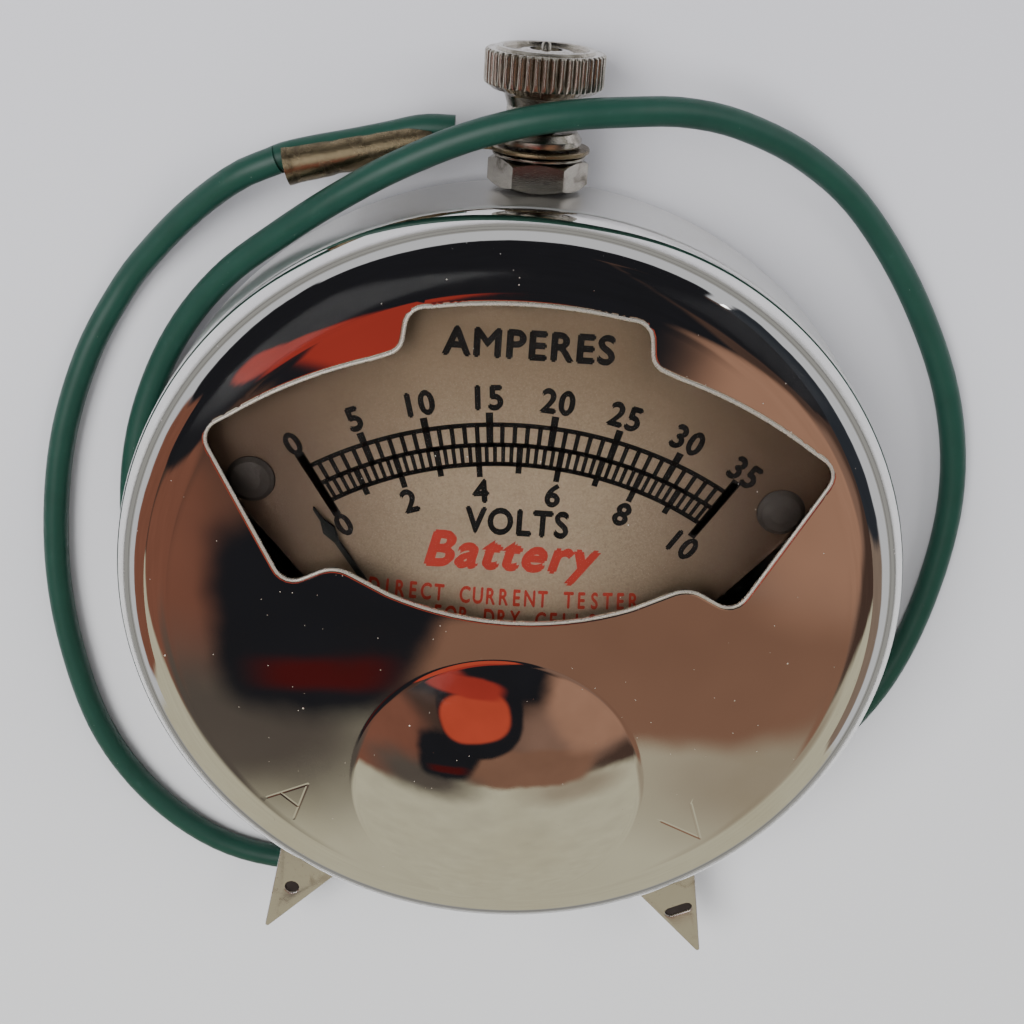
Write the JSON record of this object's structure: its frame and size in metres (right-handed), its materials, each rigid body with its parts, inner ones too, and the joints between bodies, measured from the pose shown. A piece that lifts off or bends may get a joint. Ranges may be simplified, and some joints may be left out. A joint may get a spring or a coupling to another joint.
{
  "type": "pocket volt-ammeter",
  "caption": "Round chromed pocket volt-ammeter with a fan-window dial, a binding post and lead at the top, and contact prongs below.",
  "frame": {"origin": "centre of the case's flat back, which the meter lies on", "axes": "+Z out of the dial, +Y towards the binding post, +X to the right of the dial"},
  "size_m": [0.0727, 0.0761, 0.0174],
  "materials": {
    "chrome": "polished plate, lightly worn",
    "nickel": "tarnished nickel plate",
    "brass": "aged",
    "steel": "dull",
    "magnet": "dark hardened steel",
    "copper": "enamelled copper wire and strip",
    "dial": "speckled champagne lacquer",
    "black": "black enamel",
    "glass": "clear",
    "fibre": "vulcanised fibre",
    "insulation": "smooth green insulation"
  },
  "bodies": {
    "case": {"amps_winding": "copper", "base_plate": "steel", "base_screw_1": "steel", "base_screw_2": "steel", "base_screw_3": "steel", "base_screw_4": "steel", "bearing_lock_nut": "brass", "bridge": "brass", "bridge_pillar_left": "brass", "bridge_pillar_right": "brass", "bridge_screw_left": "steel", "bridge_screw_right": "steel", "coil_bobbin": "fibre", "coil_lead_a": "copper", "coil_lead_v": "copper", "common_strap": "copper", "crystal": "glass", "crystal_spacer": "fibre", "dial_pillar_left": "brass", "dial_pillar_right": "brass", "dial_plate": "dial", "dial_screw_left": "black", "dial_screw_right": "black", "front_cover": "chrome", "hex_nut": "nickel", "inner_nut": "brass", "lead_tip": "nickel", "lead_wire": "insulation", "lower_bearing_screw": "brass", "lug": "brass", "magnet": "magnet", "magnet_block_left": "fibre", "magnet_block_right": "fibre", "magnet_clamp": "brass", "magnet_screw_left": "steel", "magnet_screw_right": "steel", "magnet_sleeve_left": "brass", "magnet_sleeve_right": "brass", "prong_a": "nickel", "prong_insulator_a": "fibre", "prong_insulator_v": "fibre", "prong_v": "nickel", "rear_cup": "chrome", "stop_pin_full": "brass", "stop_pin_zero": "brass", "terminal_stud": "brass", "upper_bearing_screw": "brass", "volts_winding": "copper", "washer": "nickel"},
    "pointer_movement": {"staff": "steel", "pointer": "black", "pointer_hub": "brass", "balance_weight": "brass", "iron_vane": "steel"},
    "clamp": {"clamp_collar": "nickel"},
    "thumb": {"thumb_nut": "nickel"}
  },
  "joints": [
    {"name": "pointer_swing", "type": "hinge", "parent": "case", "child": "pointer_movement", "pos_m": [0, -0.01363, 0.0136], "axis": [0, 0, -1], "range_deg": [0, 66], "stiffness_Nm_per_rad": 0.000002, "springref_deg": -11.46},
    {"name": "clamp_slide", "type": "slide", "parent": "case", "child": "clamp", "axis": [0, 1, 0], "range_m": [0, 0.00238]},
    {"name": "thumb_spin", "type": "hinge", "parent": "clamp", "child": "thumb", "pos_m": [0, 0.036, 0.0049], "axis": [0, 1, 0], "range_deg": [0, 1080]}
  ],
  "couplings": [
    {"joint": "thumb_spin", "follows": "clamp_slide", "rad_per_m": 7913.2}
  ]
}
